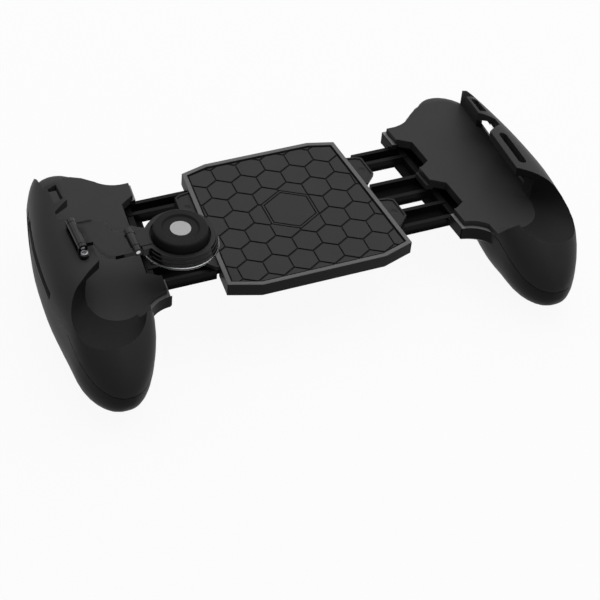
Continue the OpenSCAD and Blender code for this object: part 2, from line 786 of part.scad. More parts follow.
module right_slide_frame() {
    color(dark) at_side(1) slide_frame(true);
}
module right_shell_screws() {
    color(steel) at_side(1) shell_screws();
}
module right_frame_screws() {
    color(steel) at_side(1) frame_screws();
}
module stick_arm() {
    color(dark) at_side(-1) arm_body();
}
module base_pin() {
    color(steel) at_side(-1) pin_2();
}
module stick_base() {
    color(dark) at_side(-1) base_ring();
}
module suction_rim() {
    color(grey) at_side(-1) rim_ring();
}
module stick_skirt() {
    color(dark) at_side(-1) skirt();
}
module stick_collar() {
    color(grey) at_side(-1) collar();
}
module stick_cap() {
    color(black) at_side(-1) cap();
}
module stick_dot() {
    color("#bfc0c2") at_side(-1) dot();
}
module stick_stem() {
    color(steel) at_side(-1) stem();
}
module stick_foot() {
    color(grey) at_side(-1) foot();
}

centre_front_cover();
grip_pad();
centre_back_cover();
centre_screws();
left_brake();
right_brake();
left_front_shell();
left_back_shell();
left_slide_frame();
left_shell_screws();
left_frame_screws();
hinge_bracket();
bracket_screw();
arm_pin();
right_front_shell();
right_back_shell();
right_slide_frame();
right_shell_screws();
right_frame_screws();
stick_arm();
base_pin();
stick_base();
suction_rim();
stick_skirt();
stick_collar();
stick_cap();
stick_dot();
stick_stem();
stick_foot();
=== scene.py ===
"""Finish of a telescopic phone game controller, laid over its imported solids.

Shells, covers, slides, arm and joystick get smooth-shaded skins, screws and hidden pieces are
shown as they are, each with a procedural finish, and a pale studio is built round them.
"""

import json
import math

import bmesh
import bpy
from bpy.props import FloatProperty, FloatVectorProperty, PointerProperty
from mathutils import Matrix, Vector


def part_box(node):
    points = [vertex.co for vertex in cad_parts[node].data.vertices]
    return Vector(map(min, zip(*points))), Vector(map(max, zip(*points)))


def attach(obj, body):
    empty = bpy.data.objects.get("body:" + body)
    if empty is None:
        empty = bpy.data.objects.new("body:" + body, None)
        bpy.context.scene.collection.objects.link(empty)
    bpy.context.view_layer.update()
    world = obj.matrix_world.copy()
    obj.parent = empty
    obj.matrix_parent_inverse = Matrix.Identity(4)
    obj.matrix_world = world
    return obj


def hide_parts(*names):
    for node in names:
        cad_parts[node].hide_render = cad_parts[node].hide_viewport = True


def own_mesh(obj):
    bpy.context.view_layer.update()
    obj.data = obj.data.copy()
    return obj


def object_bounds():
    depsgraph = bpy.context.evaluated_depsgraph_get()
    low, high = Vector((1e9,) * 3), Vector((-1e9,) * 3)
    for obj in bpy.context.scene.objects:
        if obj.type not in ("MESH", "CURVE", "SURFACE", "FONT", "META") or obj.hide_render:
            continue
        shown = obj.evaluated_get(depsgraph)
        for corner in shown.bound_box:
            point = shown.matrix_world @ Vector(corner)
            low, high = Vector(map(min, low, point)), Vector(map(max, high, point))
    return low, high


bl_info = {
    "name": "Phone Game Controller Finish",
    "version": (1, 0, 0),
    "blender": (4, 5, 0),
    "location": "View3D > Sidebar > Controller",
    "description": "Dresses the solids of a telescopic phone game controller and builds its studio",
    "category": "Object",
}

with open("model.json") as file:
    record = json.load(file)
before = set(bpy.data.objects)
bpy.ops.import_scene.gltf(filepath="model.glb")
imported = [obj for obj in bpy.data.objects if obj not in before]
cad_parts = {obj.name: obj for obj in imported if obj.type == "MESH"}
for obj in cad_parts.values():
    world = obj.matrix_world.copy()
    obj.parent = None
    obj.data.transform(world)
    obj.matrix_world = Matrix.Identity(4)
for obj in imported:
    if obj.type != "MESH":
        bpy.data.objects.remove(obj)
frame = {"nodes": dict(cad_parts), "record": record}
CAD_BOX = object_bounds()
MM = 0.001

# Least upward part of the normal of a level face, and of one that is level to the eye.
LEVEL = 0.9999
NEARLY_LEVEL = 0.999
# Faces that meet at less than this lie in one plane.
FLAT_ANGLE = math.radians(0.2)
# Edges sharper than this, in degrees, are creases, on the whole and on the curved grips.
CREASE = 30.0
GRIP_CREASE = 20.0
# Share of the crease angle at which the edge of a level face is a crease already.
DECK_CREASE = 0.3
# Sides of a bead's section, and steps round it.
BEAD_SIDES = 10
BEAD_STEPS = 96
# Heights of the beads on the joystick's base, as shares of its height.
BEAD_HEIGHTS = (0.3, 0.68)
# Width of the camera's sensor in millimetres.
SENSOR = 36.0
# The lamps: name, property that holds the power, place and width in metres.
LAMPS = (
    ("key_lamp", "key_power", (0.4, 0.45, 1.0), 1.7),
    ("front_lamp", "front_power", (0.1, -1.1, 0.8), 0.4),
    ("rear_lamp", "rear_power", (-0.6, 0.85, 0.85), 0.5),
)


class Signal:
    """A shader socket that takes part in Python arithmetic by adding Math nodes."""

    def __init__(self, finish, socket):
        self.finish = finish
        self.socket = socket

    def _math(self, operation, first, second):
        return self.finish.add("ShaderNodeMath", {"operation": operation}, {0: first, 1: second})

    def __add__(self, other):
        return self._math("ADD", self, other)

    __radd__ = __add__

    def __sub__(self, other):
        return self._math("SUBTRACT", self, other)

    def __rsub__(self, other):
        return self._math("SUBTRACT", other, self)

    def __mul__(self, other):
        return self._math("MULTIPLY", self, other)

    __rmul__ = __mul__

    def __pow__(self, other):
        return self._math("POWER", self, other)

    def between(self, low, high):
        """0 below low, 1 above high, with a smooth step from one to the other."""
        return self.finish.add(
            "ShaderNodeMapRange",
            {"interpolation_type": "SMOOTHSTEP"},
            {"Value": self, "From Min": low, "From Max": high},
        )


class Finish:
    """The shader nodes of a material or of the world."""

    def __init__(self, owner):
        self.owner = owner
        owner.use_nodes = True
        self.tree = owner.node_tree
        self.tree.nodes.clear()

    def add(self, kind, settings=None, inputs=None, output=0):
        """One node: its settings, then the values or links of its sockets; gives one output."""
        node = self.tree.nodes.new(kind)
        for key, value in (settings or {}).items():
            setattr(node, key, value)
        for key, value in (inputs or {}).items():
            if isinstance(value, Signal):
                self.tree.links.new(value.socket, node.inputs[key])
            else:
                node.inputs[key].default_value = value
        return Signal(self, node.outputs[output]) if node.outputs else node

    def place(self):
        """Where a point of the piece lies, in the controller's frame."""
        return self.add("ShaderNodeTexCoord", output="Object")

    def axis(self, place, name):
        return self.add("ShaderNodeSeparateXYZ", inputs={"Vector": place}, output=name)

    def noise(self, place, size, detail=2.0):
        """Soft random spots of about the given size in metres."""
        return self.add("ShaderNodeTexNoise", inputs={"Vector": place, "Scale": 1 / size, "Detail": detail})

    def blend(self, factor, first, second):
        """Goes from the first colour to the second as the factor goes from 0 to 1."""
        inputs = {0: factor, 6: opaque(first), 7: opaque(second)}
        return self.add("ShaderNodeMix", {"data_type": "RGBA"}, inputs, output=2)

    def bump(self, height, distance, strength=1.0, normal=None):
        inputs = {"Height": height, "Distance": distance, "Strength": strength}
        if normal is not None:
            inputs["Normal"] = normal
        return self.add("ShaderNodeBump", inputs=inputs)

    def surface(self, **sockets):
        """Ends the material in a Principled shader with these sockets."""
        inputs = {key.replace("_", " "): value for key, value in sockets.items()}
        return self.show(self.add("ShaderNodeBsdfPrincipled", inputs=inputs))

    def show(self, shader):
        self.add("ShaderNodeOutputMaterial", inputs={"Surface": shader})
        return self.owner


def new_finish(name):
    return Finish(bpy.data.materials.new(name))


def opaque(colour):
    return colour if isinstance(colour, Signal) else (*colour[:3], 1.0)


def shade(colour, factor):
    return tuple(min(1.0, c * factor) for c in colour)


def look():
    return bpy.context.scene.controller_look


def sizes():
    return bpy.context.scene.controller_sizes


def studio():
    return bpy.context.scene.controller_studio


def satin_plastic(name, tone, edge=None, shine=1.0):
    """Moulded satin plastic: faint clouding, a fine spark-eroded grain and soft edges.

    With edge, a (height, tone) pair, faces that lie at that height are polished and painted paler, a
    painted highlight.
    Shine is the share of the usual reflection.
    """
    f = new_finish(name)
    place = f.place()
    cloud = f.noise(place, sizes().cloud_size)
    grain = f.noise(place, sizes().grain_size, 3.0)
    soft = f.add("ShaderNodeBevel", {"samples": 6}, {"Radius": sizes().shell_round})
    colour = f.blend(cloud * 0.7 + grain * 0.3, shade(tone, 0.88), shade(tone, 1.12))
    roughness = look().satin_roughness + 0.1 * (cloud - 0.5) + 0.1 * (grain - 0.5)
    if edge:
        height, painted_highlight_tone = edge
        level = f.axis(place, "Z")
        near = level.between(height - 0.14 * MM, height - 0.04 * MM)
        above = level.between(height, height + 0.1 * MM)
        # The edge tone on this rim is a painted highlight.
        rim = near * (1.0 - above)
        colour = f.blend(rim, colour, painted_highlight_tone)
        roughness = roughness - 0.12 * rim
    return f.surface(
        Base_Color=colour,
        Roughness=roughness,
        Specular_IOR_Level=look().satin_shine * shine,
        Normal=f.bump(grain, sizes().grain_depth, 0.4, soft),
    )


def pad_rubber(name, tone, top):
    """Soft matt rubber: clouded block tops, with painted shade in the grooves between the hexagons."""
    f = new_finish(name)
    place = f.place()
    cloud = f.noise(place, sizes().cloud_size)
    grain = f.noise(place, sizes().grain_size, 4.0)
    raised = f.axis(place, "Z").between(top - sizes().groove_depth, top - 0.02 * MM)
    block = f.blend(cloud * 0.6 + grain * 0.4, shade(tone, 0.86), shade(tone, 1.14))
    # The grooves get 0.4 of the tone: painted shade in them.
    return f.surface(
        Base_Color=f.blend(raised, shade(tone, 0.4), block),
        Roughness=0.6 + 0.15 * (grain - 0.5),
        Specular_IOR_Level=look().satin_shine,
        Normal=f.bump(grain, sizes().grain_depth, 0.7),
    )


def rail_plastic(name, tone, top):
    """Smooth plastic of the slides: rubbed tops with faint scuffs along the travel, dull floors."""
    f = new_finish(name)
    place = f.place()
    rubbed = f.axis(place, "Z").between(top - sizes().rail_height, top - 0.3 * sizes().rail_height)
    along = f.add("ShaderNodeVectorMath", {"operation": "MULTIPLY"}, {0: place, 1: (0.04, 1.0, 1.0)})
    scuff = f.noise(along, sizes().grain_size, 3.0)
    cloud = f.noise(place, sizes().cloud_size)
    return f.surface(
        Base_Color=f.blend(scuff * 0.5 + cloud * 0.5, shade(tone, 0.82), shade(tone, 1.18)),
        Roughness=0.85 - 0.5 * rubbed + 0.2 * (scuff - 0.4),
        Specular_IOR_Level=look().satin_shine,
        Normal=f.bump(scuff, sizes().grain_depth, 0.3),
    )


def polished_plastic(name, tone, top=None):
    """Polished black plastic with a little moulding waviness.

    With top, a (height, tone) pair, the faces at that height are satin and paler.
    """
    f = new_finish(name)
    place = f.place()
    cloud = f.noise(place, sizes().cloud_size * 0.3)
    haze = f.noise(place, sizes().grain_size * 2, 3.0)
    colour = f.blend(cloud, shade(tone, 0.8), shade(tone, 1.25))
    roughness = 0.05 + 0.08 * haze
    coat = 0.1 + 0.1 * cloud
    if top:
        height, top_tone = top
        level = f.axis(place, "Z").between(height - 0.12 * MM, height - 0.03 * MM)
        colour = f.blend(level, colour, f.blend(haze, shade(top_tone, 0.9), shade(top_tone, 1.1)))
        roughness = roughness + level * (look().satin_roughness - roughness)
        coat = coat * (1.0 - level)
    return f.surface(
        Base_Color=colour,
        Roughness=roughness,
        Coat_Weight=coat,
        Coat_Roughness=0.03,
        Specular_IOR_Level=look().gloss_shine,
        Normal=f.bump(cloud, sizes().grain_depth, 0.4),
    )


def clear_plastic(name, tone, bend):
    """See-through plastic with a faint frost, which lets light pass straight to what lies under it."""
    f = new_finish(name)
    place = f.place()
    cloud = f.noise(place, sizes().cloud_size * 0.4)
    haze = f.noise(place, sizes().grain_size * 2, 3.0)
    body = f.add(
        "ShaderNodeBsdfPrincipled",
        inputs={
            "Base Color": f.blend(cloud, shade(tone, 0.95), shade(tone, 1.05)),
            "Roughness": look().clear_frost + 0.05 * haze,
            "IOR": bend,
            "Transmission Weight": 1.0,
            "Normal": f.bump(cloud, sizes().grain_depth, 0.4),
        },
    )
    shadow = f.add("ShaderNodeLightPath", output="Is Shadow Ray")
    diffuse = f.add("ShaderNodeLightPath", output="Is Diffuse Ray")
    glossy = f.add("ShaderNodeLightPath", output="Is Glossy Ray")
    passing = f.add("ShaderNodeBsdfTransparent", inputs={"Color": opaque(tone)})
    straight = shadow + diffuse + glossy
    return f.show(f.add("ShaderNodeMixShader", inputs={0: straight, 1: body, 2: passing}))


def soft_rubber(name, tone):
    f = new_finish(name)
    place = f.place()
    cloud = f.noise(place, sizes().cloud_size * 0.3)
    grain = f.noise(place, sizes().grain_size, 3.0)
    return f.surface(
        Base_Color=f.blend(cloud * 0.5 + grain * 0.5, shade(tone, 0.85), shade(tone, 1.15)),
        Roughness=0.7 + 0.2 * (grain - 0.5),
        Specular_IOR_Level=look().satin_shine,
        Normal=f.bump(grain, sizes().grain_depth, 0.8),
    )


def turned_plastic(name, tone, centre):
    """Matt plastic of the joystick cap, with fine rings round its axis."""
    f = new_finish(name)
    place = f.place()
    arm = f.add("ShaderNodeVectorMath", {"operation": "SUBTRACT"}, {0: place, 1: centre})
    across = f.axis(arm, "X")
    along = f.axis(arm, "Y")
    radius = (across * across + along * along) ** 0.5
    ring = f.add("ShaderNodeMath", {"operation": "SINE"}, {0: radius * (math.tau / sizes().ring_pitch)})
    cloud = f.noise(place, sizes().cloud_size * 0.3)
    return f.surface(
        Base_Color=f.blend(cloud, shade(tone, 0.85), shade(tone, 1.15)),
        Roughness=0.42 + 0.06 * ring + 0.1 * (cloud - 0.5),
        Specular_IOR_Level=look().satin_shine * 0.5,
        Normal=f.bump(ring, sizes().grain_depth, 0.3),
    )


def ground_steel(name, tone, roughness):
    """Machined steel with a fine grain."""
    f = new_finish(name)
    place = f.place()
    grain = f.noise(place, sizes().grain_size * 0.7, 4.0)
    cloud = f.noise(place, sizes().cloud_size * 0.2)
    return f.surface(
        Base_Color=f.blend(cloud, shade(tone, 0.8), shade(tone, 1.15)),
        Metallic=0.9 + 0.1 * cloud,
        Roughness=roughness + 0.15 * (grain - 0.5),
        Normal=f.bump(grain, sizes().grain_depth, 0.3),
    )


def clean_copy(node):
    """A fresh mesh of a node's solid, with its seams joined and its flat faces whole."""
    bm = bmesh.new()
    bm.from_mesh(frame["nodes"][node].data)
    bmesh.ops.remove_doubles(bm, verts=bm.verts, dist=sizes().weld)
    bmesh.ops.dissolve_limit(
        bm, angle_limit=FLAT_ANGLE, use_dissolve_boundaries=False, verts=bm.verts, edges=bm.edges
    )
    return bm


def mark_creases(bm, angle, flat_decks):
    """Smooth shading, broken where faces meet at more than the angle, and sooner round level decks."""
    for face in bm.faces:
        face.smooth = not (flat_decks and face.normal.z > LEVEL)
    for edge in bm.edges:
        level = sum(face.normal.z > LEVEL for face in edge.link_faces)
        limit = angle * DECK_CREASE if level == 1 else angle
        edge.smooth = len(edge.link_faces) == 2 and edge.calc_face_angle(0.0) < limit


def piece_from(bm, name, *materials):
    mesh = bpy.data.meshes.new(name)
    bm.to_mesh(mesh)
    bm.free()
    for material in materials:
        mesh.materials.append(material)
    piece = bpy.data.objects.new(name, mesh)
    bpy.context.scene.collection.objects.link(piece)
    return piece


def in_tab_lip(face):
    """Tells the faces of the front cover that are inner walls of the lips round its guide tabs."""
    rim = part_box("centre_front_cover")[1].z
    depths = [rim - vert.co.z for vert in face.verts]
    upright = abs(face.normal.z) < 0.5
    return upright and min(depths) > sizes().lip_top and max(depths) < sizes().lip_foot


def slot_of(node):
    return next(s["material_slot"] for s in frame["record"]["subparts"] if s["node"] == node)


def stand_for(piece, node):
    """The piece takes the place of a node, which is hidden, and moves as the node does."""
    bodies = frame["record"]["behaviour"]["bodies"]
    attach(piece, next(body for body, members in bodies.items() if node in members))
    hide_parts(node)
    return piece


def near_axles(axles):
    """Tells the faces of the hinge barrels round the given axles."""

    def test(face):
        centre = face.calc_center_median()
        return any(math.hypot(centre.x - axle.x, centre.z - axle.z) < sizes().barrel for axle in axles)

    return test


def in_scoop(face):
    """Tells the faces of a grip's thumb scoop, which rise from the deck and face its middle."""
    centre = face.calc_center_median()
    deck = frame["record"]["mounts"][0]["pos_m"][2]
    low, high = Vector(sizes().scoop_floor), Vector(sizes().scoop_rim)
    side = math.copysign(1.0, centre.x)
    place = Vector((centre.x * side, centre.y))
    share = (place - low).dot(high - low) / (high - low).length_squared
    away = (low.lerp(high, min(1.0, max(0.0, share))) - place).length
    facing = Vector((face.normal.x * side, face.normal.y)).dot(low - place)
    return centre.z > deck and away < sizes().scoop_reach and facing > 0 and face.normal.z < NEARLY_LEVEL


def skin(node, material, rounding=0.0, crease=CREASE, second=None, where=None):
    """A smooth-shaded skin of a node, with its sharp edges rounded where a rounding is given.

    Faces that pass the test take the second material.
    """
    bm = clean_copy(node)
    mark_creases(bm, math.radians(crease), flat_decks=not rounding)
    for face in bm.faces:
        face.material_index = int(where is not None and where(face))
    piece = piece_from(bm, node + "_skin", *([material, second] if second else [material]))
    if rounding:
        bevel = piece.modifiers.new("rounding", "BEVEL")
        bevel.width = rounding
        bevel.segments = 2
        bevel.limit_method = "ANGLE"
        bevel.angle_limit = math.radians(crease)
        bevel.harden_normals = True
    return stand_for(piece, node)


def bead(name, body, slot, material, centre, radius):
    """A thin polished ring round an upright axis."""
    bm = bmesh.new()
    half = sizes().bead / 2
    start = centre + Vector((radius, 0.0, 0.0))
    section = [
        bm.verts.new(start + Vector((half * math.cos(a), 0.0, half * math.sin(a))))
        for a in (math.tau * i / BEAD_SIDES for i in range(BEAD_SIDES))
    ]
    edges = [bm.edges.new((section[i - 1], section[i])) for i in range(BEAD_SIDES)]
    bmesh.ops.spin(
        bm,
        geom=[*section, *edges],
        cent=centre,
        axis=(0, 0, 1),
        angle=math.tau,
        steps=BEAD_STEPS,
        use_merge=True,
    )
    bmesh.ops.recalc_face_normals(bm, faces=bm.faces)
    for face in bm.faces:
        face.smooth = True
    piece = piece_from(bm, name, material)
    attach(piece, body)
    return piece


def axle_of(joint):
    """Where a joint of the record has its axis."""
    return Vector(next(j["pos_m"] for j in frame["record"]["behaviour"]["joints"] if j["name"] == joint))


def paint(node, material):
    """A node whose solid is shown as it is gets its finish."""
    for part in frame["nodes"][node].material_slots:
        part.material = material


def tone(name, description, *colour):
    return FloatVectorProperty(name=name, description=description, subtype="COLOR", default=colour)


def length(name, description, millimetres):
    return FloatProperty(
        name=name, description=description, unit="LENGTH", precision=5, default=millimetres * MM
    )


def power(name, description, watts):
    return FloatProperty(name=name, description=description, unit="POWER", default=watts)


def share(name, description, value):
    return FloatProperty(name=name, description=description, min=0.0, max=1.0, default=value)


def index(name, description, value):
    return FloatProperty(name=name, description=description, min=1.0, max=2.0, default=value)


def spot(name, description, *millimetres):
    return FloatVectorProperty(
        name=name, description=description, size=2, unit="LENGTH", default=[m * MM for m in millimetres]
    )


class ControllerLook(bpy.types.PropertyGroup):
    shell_tone: tone("Grip tone", "Colour of the grip shells", 0.053, 0.053, 0.0535)
    # Half the front shells' tone: painted shade on the back shells, which form the grips' sides and tips.
    back_shaded_tone: tone("Grip back tone", "Colour of the grips' back shells", 0.026, 0.026, 0.0264)
    # A painted highlight: the pale colour of the thin rim round the grips' decks stands in for light on its
    # edge.
    deck_rim_highlight_tone: tone("Line tone", "Colour of the thin rim round the grips' decks", 0.3, 0.3, 0.3)
    cover_tone: tone("Plate tone", "Colour of the centre plate", 0.043, 0.043, 0.0435)
    # A painted highlight: the plate rim's pale colour stands in for light on its rounded top.
    plate_rim_highlight_tone: tone("Rim tone", "Colour of the plate's raised rim", 0.17, 0.17, 0.171)
    pad_tone: tone("Pad tone", "Colour of the hexagon pad", 0.056, 0.056, 0.0565)
    rail_tone: tone("Slide tone", "Colour of the slide frames", 0.008, 0.008, 0.0082)
    hinge_tone: tone("Hinge tone", "Colour of the hinges and the base ring's side", 0.008, 0.008, 0.0085)
    ring_tone: tone("Ring tone", "Colour of the base ring's top", 0.022, 0.022, 0.0224)
    arm_tone: tone("Arm tone", "Tint of the see-through arm", 0.75, 0.75, 0.755)
    clear_tone: tone("Rim ring tone", "Tint of the see-through suction rim", 0.86, 0.87, 0.88)
    cap_tone: tone("Cap tone", "Colour of the joystick cap", 0.026, 0.026, 0.0265)
    dot_tone: tone("Dot tone", "Colour of the dot in the cap", 0.58, 0.58, 0.585)
    rubber_tone: tone("Rubber tone", "Colour of the hidden rubber pieces", 0.03, 0.03, 0.031)
    screw_tone: tone("Screw tone", "Colour of the screws", 0.22, 0.22, 0.23)
    pin_tone: tone("Pin tone", "Colour of the hinge pins", 0.6, 0.6, 0.61)
    satin_roughness: share("Satin roughness", "Roughness of the grip plastic", 0.42)
    satin_shine: share("Satin shine", "Strength of the satin surfaces' reflection", 0.04)
    gloss_shine: share("Gloss shine", "Strength of the polished pieces' reflection", 0.1)
    clear_frost: share("Clear frost", "Roughness of the see-through plastic", 0.3)
    # The scoop shade darkens the thumb scoops' colour: painted shade on their walls.
    scoop_painted_shade: share("Scoop shade", "Tone of the thumb scoops as a share of the grips'", 0.5)
    scoop_shine: share("Scoop shine", "Reflection of the thumb scoops as a share of the grips'", 0.2)
    # The lip shade darkens the tab lips' inner walls: a painted shadow.
    lip_painted_shadow: share("Lip shade", "Tone of the tab lips' inner walls as a share of the plate's", 0.2)
    lip_shine: share("Lip shine", "Reflection of these walls as a share of the plate's", 0.1)
    arm_index: index("Arm index", "Refractive index of the arm's thin plate", 1.14)
    rim_index: index("Rim index", "Refractive index of the suction rim", 1.45)


class ControllerSizes(bpy.types.PropertyGroup):
    shell_round: length("Grip edges", "Rounding of the grip shells' edges", 0.35)
    plate_round: length("Plate edges", "Rounding of the centre plate's edges", 0.3)
    block_round: length("Pad edges", "Rounding of the pad's hexagon blocks", 0.1)
    rail_round: length("Slide edges", "Rounding of the slide frames' edges", 0.15)
    hinge_round: length("Hinge edges", "Rounding of the arm's and hinges' edges", 0.2)
    groove_depth: length("Groove depth", "Depth of the pad's grooves", 0.3)
    cloud_size: length("Cloud size", "Size of the faint clouds in the plastic", 14)
    grain_size: length("Grain size", "Size of the moulded grain", 0.35)
    grain_depth: length("Grain depth", "Depth of the moulded grain", 0.02)
    ring_pitch: length("Ring pitch", "Pitch of the fine rings on the cap", 0.3)
    barrel: length("Barrel", "Faces this close to an axle are part of a hinge barrel", 1.62)
    rail_height: length("Rail height", "Height of the slide rails over their floors", 3)
    lip_top: length("Lip top", "Depth below the plate's rim that the tops of the tab lips stay under", 0.4)
    lip_foot: length("Lip foot", "Depth below the plate's rim that the feet of the tab lips stay over", 1.0)
    skirt_fold: share("Skirt fold", "Share of the soft skirt's height left when folded", 0.36)
    bead: length("Bead", "Thickness of the beads round the joystick's base", 0.5)
    bead_inset: length("Bead inset", "How far the base's foot lies inside the suction rim", 0.4)
    base_taper: length("Base taper", "How much smaller the base's radius is at its top", 0.9)
    scoop_floor: spot("Scoop floor", "Middle of the right thumb scoop's floor", 69.8, -17.3)
    scoop_rim: spot("Scoop rim", "Middle of the right thumb scoop's rim", 75.8, -28.9)
    scoop_reach: length("Scoop reach", "Greatest radius of a thumb scoop's rim", 13.4)
    weld: length("Weld", "Points closer than this are one point", 0.002)


class ControllerStudio(bpy.types.PropertyGroup):
    camera_place: FloatVectorProperty(
        name="Camera",
        description="Place of the camera",
        subtype="TRANSLATION",
        unit="LENGTH",
        default=(-0.21667, -0.43815, 0.46209),
    )
    camera_forward: FloatVectorProperty(
        name="Viewing direction",
        description="Where the camera looks",
        subtype="DIRECTION",
        default=(0.32224, 0.64199, -0.69571),
    )
    camera_right: FloatVectorProperty(
        name="Picture's right",
        description="Direction of the picture's right edge",
        subtype="DIRECTION",
        default=(0.92114, -0.38214, 0.07401),
    )
    lens: FloatProperty(
        name="Lens", description="Focal length on the camera's sensor", unit="CAMERA", default=118.34
    )
    ambient: share("Ambient", "Strength of the light from all round", 0.12)
    key_power: power("Key light", "Power of the overhead lamp", 13.0)
    front_power: power("Front light", "Power of the small lamp in front", 1.7)
    rear_power: power("Rear light", "Power of the lamp at the rear", 1.2)
    floor_size: FloatProperty(name="Floor", description="Width of the floor", unit="LENGTH", default=8.0)
    floor_gap: length("Floor gap", "How far the floor lies below the controller", 0.2)
    floor_light: share("Floor whiteness", "Share of the floor that shows plain white", 0.93)
    floor_tone: tone("Floor tone", "Colour of the floor as it is seen", 0.95, 0.95, 0.95)
    floor_cast: tone("Floor cast", "Colour of the floor for the light it throws back", 0.25, 0.25, 0.25)


class CONTROLLER_OT_grips(bpy.types.Operator):
    """Dress the front and back shells of both grips in satin plastic"""

    bl_idname = "controller.dress_grips"
    bl_label = "Dress Grips"

    def execute(self, context):
        front = satin_plastic("grip_satin", look().shell_tone)
        # The thumb scoops take a darker copy of the grip plastic, painted shade on their walls, and reflect
        # less.
        scoop_shaded_tone = shade(look().shell_tone, look().scoop_painted_shade)
        scoop = satin_plastic("scoop_matt", scoop_shaded_tone, shine=look().scoop_shine)
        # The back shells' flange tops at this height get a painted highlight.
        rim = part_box("centre_front_cover")[1].z
        # The back shells take a darker copy of the grip plastic, painted shade.
        back = satin_plastic("grip_back_satin", look().back_shaded_tone, (rim, look().deck_rim_highlight_tone))
        for side in ("left", "right"):
            skin(side + "_front_shell", front, crease=GRIP_CREASE, second=scoop, where=in_scoop)
            skin(side + "_back_shell", back, crease=GRIP_CREASE)
        return {"FINISHED"}


class CONTROLLER_OT_plate(bpy.types.Operator):
    """Dress the centre plate: its two covers and the hexagon pad"""

    bl_idname = "controller.dress_plate"
    bl_label = "Dress Centre Plate"

    def execute(self, context):
        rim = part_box("centre_front_cover")[1].z
        pad_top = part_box("grip_pad")[1].z
        # The plate's rim top is polished and painted paler, a painted highlight.
        front = satin_plastic("plate_satin", look().cover_tone, (rim, look().plate_rim_highlight_tone))
        # The inner walls of the tab lips take a dark copy of the plate plastic, a painted shadow.
        lip_shadow_tone = shade(look().cover_tone, look().lip_painted_shadow)
        lip = satin_plastic("tab_lip_matt", lip_shadow_tone, shine=look().lip_shine)
        skin("centre_front_cover", front, sizes().plate_round, second=lip, where=in_tab_lip)
        skin("centre_back_cover", satin_plastic("plate_back_satin", look().cover_tone))
        skin("grip_pad", pad_rubber("pad_rubber", look().pad_tone, pad_top), sizes().block_round)
        return {"FINISHED"}


class CONTROLLER_OT_slides(bpy.types.Operator):
    """Dress the slide frames and the friction shoes that hold them"""

    bl_idname = "controller.dress_slides"
    bl_label = "Dress Slides"

    def execute(self, context):
        rail = rail_plastic("slide_plastic", look().rail_tone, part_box("left_slide_frame")[1].z)
        shoe = soft_rubber("shoe_rubber", look().rubber_tone)
        for side in ("left", "right"):
            skin(side + "_slide_frame", rail, sizes().rail_round)
            paint(side + "_brake", shoe)
        return {"FINISHED"}


class CONTROLLER_OT_screws(bpy.types.Operator):
    """Finish the screws and the hinge pins in steel"""

    bl_idname = "controller.finish_screws"
    bl_label = "Finish Screws and Pins"

    def execute(self, context):
        screw = ground_steel("screw_steel", look().screw_tone, roughness=0.4)
        pin = ground_steel("pin_steel", look().pin_tone, roughness=0.25)
        for node in frame["nodes"]:
            if node.endswith(("_screws", "_screw")):
                paint(node, screw)
            if node.endswith("_pin"):
                paint(node, pin)
        return {"FINISHED"}


class CONTROLLER_OT_arm(bpy.types.Operator):
    """Dress the hinge bracket and the see-through arm with its black barrels"""

    bl_idname = "controller.dress_arm"
    bl_label = "Dress Arm"

    def execute(self, context):
        gloss = polished_plastic("hinge_gloss", look().hinge_tone)
        clear = clear_plastic("arm_clear", look().arm_tone, look().arm_index)
        axles = (axle_of("arm_fold"), axle_of("ring_fold"))
        skin("hinge_bracket", gloss, sizes().hinge_round)
        skin("stick_arm", clear, sizes().hinge_round, second=gloss, where=near_axles(axles))
        return {"FINISHED"}


class CONTROLLER_OT_joystick(bpy.types.Operator):
    """Dress the joystick: base ring, suction rim, gimbal and the turned cap with its dot"""

    bl_idname = "controller.dress_joystick"
    bl_label = "Dress Joystick"

    def execute(self, context):
        top = axle_of("ring_fold").z
        gloss = polished_plastic("barrel_gloss", look().hinge_tone)
        ring = polished_plastic("ring_gloss", look().hinge_tone, (top, look().ring_tone))
        in_barrel = near_axles([axle_of("ring_fold")])
        skin("stick_base", ring, sizes().hinge_round, second=gloss, where=in_barrel)
        self.add_beads(gloss)
        clear = clear_plastic("rim_clear", look().clear_tone, look().rim_index)
        skin("suction_rim", clear, sizes().block_round)
        rubber = soft_rubber("joystick_rubber", look().rubber_tone)
        self.fit_skirt(rubber)
        paint("stick_foot", rubber)
        paint("stick_collar", polished_plastic("collar_plastic", look().rail_tone))
        paint("stick_stem", ground_steel("stem_metal", look().pin_tone, roughness=0.3))
        paint("stick_dot", soft_rubber("dot_plastic", look().dot_tone))
        low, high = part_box("stick_cap")
        turned = turned_plastic("cap_turned", look().cap_tone, (low + high) / 2)
        skin("stick_cap", turned, sizes().block_round)
        return {"FINISHED"}

    def add_beads(self, material):
        """Two beads round the tapered side of the base."""
        low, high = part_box("suction_rim")
        wide = (high.x - low.x) / 2 - sizes().bead_inset
        tall = axle_of("ring_fold").z - high.z
        for i, part in enumerate(BEAD_HEIGHTS):
            centre = Vector(((low.x + high.x) / 2, (low.y + high.y) / 2, high.z + part * tall))
            name = "base_bead_%d" % (i + 1)
            radius = wide - sizes().base_taper * part
            bead(name, "stick_mount", slot_of("stick_base"), material, centre, radius)

    def fit_skirt(self, material):
        """The soft skirt, folded low enough for the cap to tilt over it."""
        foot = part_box("stick_skirt")[0]
        bm = clean_copy("stick_skirt")
        from_foot = Matrix.Translation((0, 0, -foot.z))
        bmesh.ops.scale(bm, vec=(1, 1, sizes().skirt_fold), space=from_foot, verts=bm.verts)
        mark_creases(bm, math.radians(CREASE), flat_decks=True)
        piece = stand_for(piece_from(bm, "stick_skirt_skin", material), "stick_skirt")
        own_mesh(piece)


